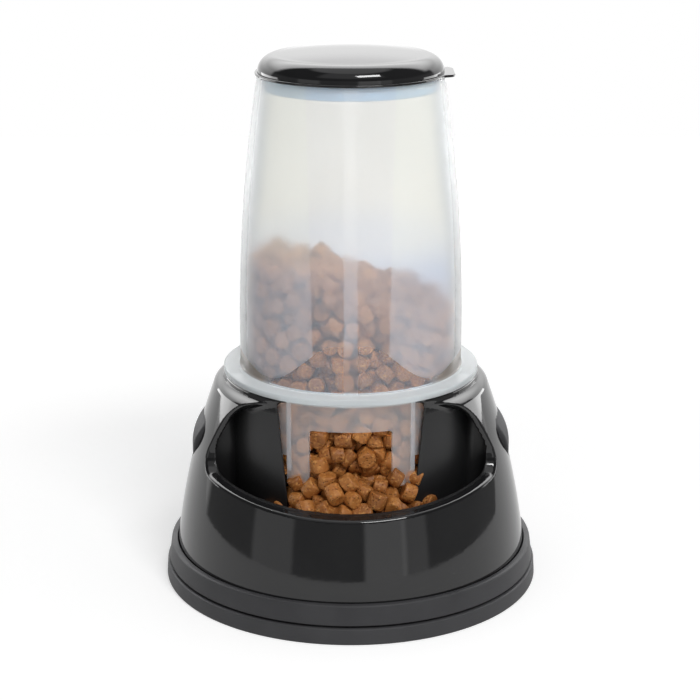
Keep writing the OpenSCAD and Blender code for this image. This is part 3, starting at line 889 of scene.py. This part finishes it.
def relax(points, inside, rounds):
    """Pushes points apart until they lie a piece's width from each other, inside a region."""
    p = points.copy()
    for _ in range(rounds):
        d = p[:, None] - p[None]
        dist = np.sqrt((d * d).sum(2)) + np.eye(len(p)) * 99
        push = np.maximum(2 * PACK_R - dist, 0) / dist * 0.5
        p = p + (d * push[:, :, None]).sum(1) * 0.55
        p = inside(p)
    return p


def push_out(p, field, margin):
    """Moves points back into a region whose field is negative inside, a margin from its edge."""
    over = field(*p.T) + margin
    g = gradient(field, p, 0.05)
    g /= np.maximum(np.linalg.norm(g, axis=1), 1e-6)[:, None]
    return p - np.maximum(over, 0)[:, None] * g


def hopper_heap(x, y):
    """Height of the food's surface in the hopper, highest at the front on the left."""
    return (HOPPER_HEAP_Z - HEAP_FALL_X * x - HEAP_FALL_Y * (y + 70)
            + 3 * np.sin(x / 17.0 + 0.6) * np.cos(y / 15.0))


def hopper_room(x, y, z):
    """The room for food inside the hopper and chute, above the ramp."""
    r = np.hypot(x, y)
    drop = BARREL_R - NECK_R
    arc = ((MOUTH_Z - BEND_Z) ** 2 + drop ** 2) / (2 * drop)
    barrel = BARREL_R - arc + np.sqrt(arc ** 2 - np.maximum(z - BEND_Z, 0) ** 2) - BARREL_WALL
    barrel = np.where(z < FLANGE_TOP_Z - CHUTE_WALL - 3, CHUTE_R - CHUTE_WALL, barrel)
    floor = (ramp_height(y) - z) * 0.9
    return np.maximum(np.maximum(r - barrel, z - hopper_heap(x, y) - SPARE_TOP), floor)


def bowl_heap(x, y):
    """Height of the food's surface in the bowl, falling from the outlet to the rim."""
    fall = np.maximum(-y - BOWL_FRONT_Y, 0)
    top = BOWL_HEAP_Z - BOWL_FALL * fall - 0.014 * x * x + 1.5 * np.sin(x / 9.0) * np.cos(y / 8.0)
    return np.minimum(top, np.where(fall > 0, 100 - 0.9 * np.maximum(fall - 10, 0), 200))


def bowl_room(x, y, z):
    """The room for food in the bowl."""
    shell = shell_field(np.hypot(x, y), z) + RIM_W
    heap = (z - bowl_heap(x, y) - SPARE_TOP) * 0.6
    return np.maximum(np.maximum(shell, heap), np.maximum(BOWL_FLOOR_Z - z, y - BOWL_BACK_Y))


def noise3(p, seed):
    """Smooth noise from a few sine waves, the same on every run."""
    g = np.random.default_rng(seed)
    out = np.zeros(len(p))
    for k in range(7):
        w = g.normal(size=3) * (0.35 + 0.17 * k)
        out += np.sin(p @ w + g.uniform(0, 6.28)) / (1 + 0.5 * k)
    return out / 3.2


def kibble_shape(seed):
    """One short cylinder of pet food with rounded edges, slightly uneven, about its own middle."""
    g = np.random.default_rng(seed)
    r = PIECE_R * g.uniform(0.89, 1.09)
    half = g.uniform(3.7, 5.4)
    edge = 1.2
    profile = [(0.02, half - 0.25), (r * 0.45, half - 0.1), (r - edge * 1.2, half)]
    profile += arc_points(r - edge, half - edge, edge, 72, 0, 3)
    profile += [(r * 1.01, 0.0)]
    profile += arc_points(r - edge, edge - half, edge, 0, -72, 3)
    profile += [(r - edge * 1.2, -half), (r * 0.45, 0.1 - half), (0.02, 0.25 - half)]
    steps = 20
    verts = []
    for k in range(steps):
        t = 2 * math.pi * k / steps
        verts += [(a * math.cos(t), a * math.sin(t), z) for a, z in profile]
    verts = np.array(verts)
    squash = g.uniform(0.95, 1.05)
    verts[:, 0] *= squash
    verts[:, 1] /= squash
    verts[:, 0] += g.uniform(-0.14, 0.14) * verts[:, 2]
    lumps = noise3(verts * 0.45, seed + 100) * 0.45 + noise3(verts * 1.7, seed + 200) * 0.20
    size = np.linalg.norm(verts, axis=1)
    verts *= (1 + lumps / np.maximum(size, 3))[:, None]
    faces = grid_faces(steps, len(profile), True, False)
    return verts, np.array(faces)


SHAPES = [kibble_shape(s) for s in range(14)]


def turned(axis, spin, g):
    """A rotation that takes +Z to an axis, with a spin about it."""
    axis = axis / np.linalg.norm(axis)
    side = np.cross(axis, g.normal(size=3))
    side /= np.linalg.norm(side)
    other = np.cross(axis, side)
    c, s = math.cos(spin), math.sin(spin)
    return np.stack([c * side + s * other, -s * side + c * other, axis], 1)


def kibble_object(name, points, body, wall_field=None):
    """Pieces of food at points, turned to lie against a wall where there is one."""
    g = np.random.default_rng(len(points))
    verts, faces, count = [], [], 0
    normals = gradient(wall_field, points, 0.05) if wall_field else None
    for i, p in enumerate(points):
        v, f = SHAPES[int(g.integers(len(SHAPES)))]
        axis = g.normal(size=3)
        if normals is not None and wall_field(*p) > -PACK_R - 2.5:
            n = normals[i] / np.linalg.norm(normals[i])
            flat = np.cross(n, axis)
            axis = n + 0.12 * axis if g.random() < 0.5 else flat / np.linalg.norm(flat) + 0.1 * axis
        v = v @ turned(axis, g.uniform(0, 6.28), g).T + p
        if normals is not None:
            # Twice, because the wall may be bent between the old place and the new one
            for _ in range(2):
                over = wall_field(*v.T).max() + WALL_SPARE
                v = v - min(max(over, 0.0), PIECE_R) * normals[i] / max(np.linalg.norm(normals[i]), 1e-6)
        verts.append(v)
        faces.append(f + count)
        count += len(v)
    return shown_object(name, np.concatenate(verts), np.concatenate(faces), body, "ramp_plastic",
                        kibble_brown, sharp=80.0)


def fill(field, heap, low, high, rounds, seed):
    """Centres of pieces packed into a region, without those that stand above the heap's surface."""
    g = np.random.default_rng(seed)
    low, high = np.array(low, float), np.array(high, float)
    p = g.uniform(low, high, size=(40000, 3))
    share = (field(*p.T) < 0).mean()
    count = int(share * np.prod(high - low) * PACKED_SHARE / (4 / 3 * math.pi * PACK_R ** 3))
    p = p[field(*p.T) < -PACK_R * 0.8][:count]
    p = relax(p, lambda q: push_out(q, field, PACK_R * 0.93), rounds)
    return p[p[:, 2] < heap(p[:, 0], p[:, 1]) - PIECE_R]


rounds = 90
in_hopper = fill(hopper_room, hopper_heap, *HOPPER_BOX, rounds, 3)
in_bowl = fill(bowl_room, bowl_heap, *BOWL_BOX, rounds, 5)
keep_up = in_hopper[:, 2] > LIFTED_FROM_Z
kibble_object("kibble_in_hopper", in_hopper[keep_up], "hopper", hopper_room)
kibble_object("kibble_on_ramp", in_hopper[~keep_up], "base", hopper_room)
kibble_object("kibble_in_bowl", in_bowl, "base")


# ---------------------------------------------------------------- floor, lamps, world, camera
FLOOR_R = 0.405                  # the white table's round front edge, in metres
FLOOR_GLOW = 0.40
FLOOR_BACK = 1.6
FLOOR_SPREAD = 2.2
WHITE = (1.0, 1.0, 1.0, 1.0)
AMBIENT = 0.48                   # the even light all round
STRIPS = ((9, 36, 0.85), (34, 51, 0.50), (-67, -38, 0.55))  # windows in front: degrees and level
LAMP_AIM = (0.0, 0.0, 0.15)
SIDE_TURN = 118                  # degrees from straight ahead
SIDE_SIZE = (0.74, 0.22)
SIDE_LEVEL = 3.8
KEY_SIZE = (0.86, 0.36)
KEY_LEVEL = 21.0
CAMERA_AT = (-0.0005, -1.150, 0.5091)
CAMERA_TILT = 72.83              # degrees from straight down
CAMERA_LENS = 93.39


def build_floor():
    """A white table with a round front, which widens into the backdrop behind the part."""
    mat, n = new_material("studio_floor")
    at = n.place()
    soft = n.noise(at, 3.0, 2.0)
    near = n.mix_color(soft, (0.80, 0.80, 0.80, 1), (0.82, 0.82, 0.82, 1))
    away = n.ramp(n.add("ShaderNodeVectorMath", {0: at}, operation="LENGTH").outputs["Value"], 0.22, 0.60)
    shader = n.add("ShaderNodeBsdfPrincipled", {
        "Base Color": n.mix_color(away, near, (0.05, 0.05, 0.05, 1)),
        "Roughness": 0.9, "Specular IOR Level": 0.0})
    path = n.add("ShaderNodeLightPath")
    seen = n.math("MAXIMUM", path.outputs["Is Camera Ray"],
                  n.math("MAXIMUM", path.outputs["Is Glossy Ray"], path.outputs["Is Transmission Ray"]))
    level = n.blend(away, FLOOR_GLOW, 1.0)
    glow = n.add("ShaderNodeEmission", {"Color": WHITE, "Strength": n.math("MULTIPLY", seen, level)})
    n.show(n.add("ShaderNodeAddShader", {0: shader.outputs[0], 1: glow.outputs[0]}))
    mesh = bpy.data.meshes.new("studio_floor")
    outline = [(x, y, 0) for x, y in arc_points(0, 0, FLOOR_R, -190, 10, 60)]
    outline += [(FLOOR_SPREAD, FLOOR_BACK, 0), (-FLOOR_SPREAD, FLOOR_BACK, 0)]
    mesh.from_pydata(outline, [], [tuple(range(len(outline)))])
    mesh.materials.append(mat)
    obj = bpy.data.objects.new("studio_floor", mesh)
    bpy.context.scene.collection.objects.link(obj)


def build_world():
    """A white studio behind the part and a dim room in front of it, with even light all round."""
    world = bpy.data.worlds.new("studio")
    bpy.context.scene.world = world
    world.use_nodes = True
    world.node_tree.nodes.clear()
    n = Nodes(world.node_tree)
    direction = n.add("ShaderNodeTexCoord").outputs["Generated"]
    x, y, z = n.parts(direction)
    path = n.add("ShaderNodeLightPath")
    # Degrees from straight ahead, positive to the right
    turn = n.math("DEGREES", n.math("ARCTAN2", x, n.math("MULTIPLY", y, -1.0)))
    behind = n.ramp(n.math("ABSOLUTE", n.math("SUBTRACT", turn, 4.0)), 114, 121)
    level_front = n.ramp(z, 0.14, 0.34, 0.26, 0.06)
    for start, end, extra in STRIPS:
        strip = n.math("MULTIPLY", n.ramp(turn, start - 2, start + 2),
                       n.ramp(turn, end - 2, end + 2, 1.0, 0.0))
        strip = n.math("MULTIPLY", strip, n.ramp(z, 0.18, 0.24, 1.0, 0.0))
        level_front = n.math("ADD", level_front, n.math("MULTIPLY", strip, extra))
    ahead = n.math("MULTIPLY", n.ramp(n.math("ABSOLUTE", turn), 38, 52, 1.0, 0.0), n.ramp(z, 0.46, 0.60))
    level_front = n.math("ADD", level_front, n.math("MULTIPLY", ahead, 0.45))
    # A white cove behind, brighter with height, and a weaker light straight above
    cove = n.math("ADD", n.ramp(z, 0.05, 0.32, 1.35, 2.1), n.ramp(z, 0.33, 0.66, 0.0, 3.0))
    high = n.ramp(z, 0.30, 0.45)
    depth = n.ramp(y, 0.24, 0.42)
    behind = n.blend(high, behind, depth)
    mirror = n.blend(behind, level_front, cove)
    mirror = n.math("MAXIMUM", mirror, n.ramp(z, 0.86, 0.93, 0.0, 1.1))
    straight = n.math("MAXIMUM", path.outputs["Is Camera Ray"], path.outputs["Is Transmission Ray"])
    level = n.blend(path.outputs["Is Glossy Ray"], AMBIENT, mirror)
    level = n.blend(straight, level, 1.0)
    background = n.add("ShaderNodeBackground", {"Color": WHITE, "Strength": level})
    n.add("ShaderNodeOutputWorld", {0: background.outputs[0]})


def toward(turn, height, distance):
    """A point seen from the part at a turn from straight ahead and a height, both in degrees."""
    t, h = math.radians(turn), math.radians(height)
    return (distance * math.sin(t) * math.cos(h), -distance * math.cos(t) * math.cos(h),
            LAMP_AIM[2] + distance * math.sin(h))


def area_lamp(name, at, size, radiance, only_gloss=False):
    """A rectangular lamp aimed at the part; its power gives the radiance that a mirror would show."""
    data = bpy.data.lights.new(name, "AREA")
    data.shape = "RECTANGLE"
    data.size, data.size_y = size
    data.energy = radiance * math.pi * size[0] * size[1]
    obj = bpy.data.objects.new(name, data)
    bpy.context.scene.collection.objects.link(obj)
    obj.location = at
    obj.visible_camera = False
    obj.visible_diffuse = not only_gloss
    obj.visible_transmission = not only_gloss
    aim = np.array(LAMP_AIM) - np.array(at, float)
    aim /= np.linalg.norm(aim)
    obj.rotation_euler = (math.acos(-aim[2]), 0, math.atan2(aim[1], aim[0]) - math.pi / 2)


build_floor()
build_world()
for side, word in ((-1, "left"), (1, "right")):
    area_lamp("softbox_" + word, toward(side * SIDE_TURN, 2.5, 1.0), SIDE_SIZE, SIDE_LEVEL, only_gloss=True)
area_lamp("softbox_key", toward(26, 49, 2.14), KEY_SIZE, KEY_LEVEL)

camera_data = bpy.data.cameras.new("camera")
camera_data.lens = CAMERA_LENS
camera_data.sensor_width = 36.0
camera = bpy.data.objects.new("camera", camera_data)
camera.location = CAMERA_AT
camera.rotation_euler = (math.radians(CAMERA_TILT), 0, 0)
bpy.context.scene.collection.objects.link(camera)
bpy.context.scene.camera = camera
bpy.context.scene.view_settings.view_transform = "Standard"
